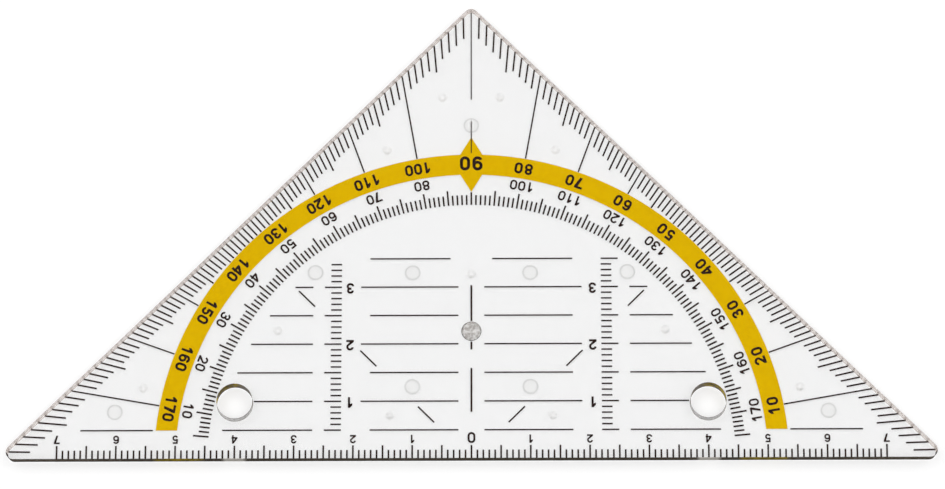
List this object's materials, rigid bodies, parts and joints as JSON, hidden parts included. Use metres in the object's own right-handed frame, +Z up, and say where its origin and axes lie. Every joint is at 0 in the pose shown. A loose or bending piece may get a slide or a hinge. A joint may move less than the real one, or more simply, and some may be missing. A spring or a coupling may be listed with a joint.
{
  "type": "drafting triangle",
  "caption": "Clear plastic drafting triangle with a millimetre scale on its long edge, degree ticks on both legs, a yellow protractor band, parallel lines and through holes.",
  "frame": {"origin": "zero mark of the millimetre scale on the ruling edge, in the plane that the nubs rest on", "axes": "+X along the ruling edge, +Y towards the right-angled corner, +Z up through the plate from its printed underside"},
  "size_m": [0.1568, 0.0797, 0.0028],
  "materials": {
    "clear_plastic": "polished",
    "yellow_ink": "printed",
    "black_ink": "printed"
  },
  "bodies": {
    "root": {"plate": "clear_plastic", "yellow_degree_band": "yellow_ink", "edge_millimetre_ticks": "black_ink", "edge_centimetre_numbers": "black_ink", "left_leg_degree_ticks": "black_ink", "right_leg_degree_ticks": "black_ink", "left_ten_degree_lines": "black_ink", "right_ten_degree_lines": "black_ink", "inner_degree_ticks": "black_ink", "band_degree_numbers": "black_ink", "inner_degree_numbers": "black_ink", "left_parallel_lines": "black_ink", "right_parallel_lines": "black_ink", "left_height_ticks": "black_ink", "right_height_ticks": "black_ink", "height_numbers": "black_ink", "ninety_degree_line": "black_ink", "lower_centre_line": "black_ink", "diagonal_marks": "black_ink", "outer_base_lines": "black_ink"}
  },
  "joints": []
}
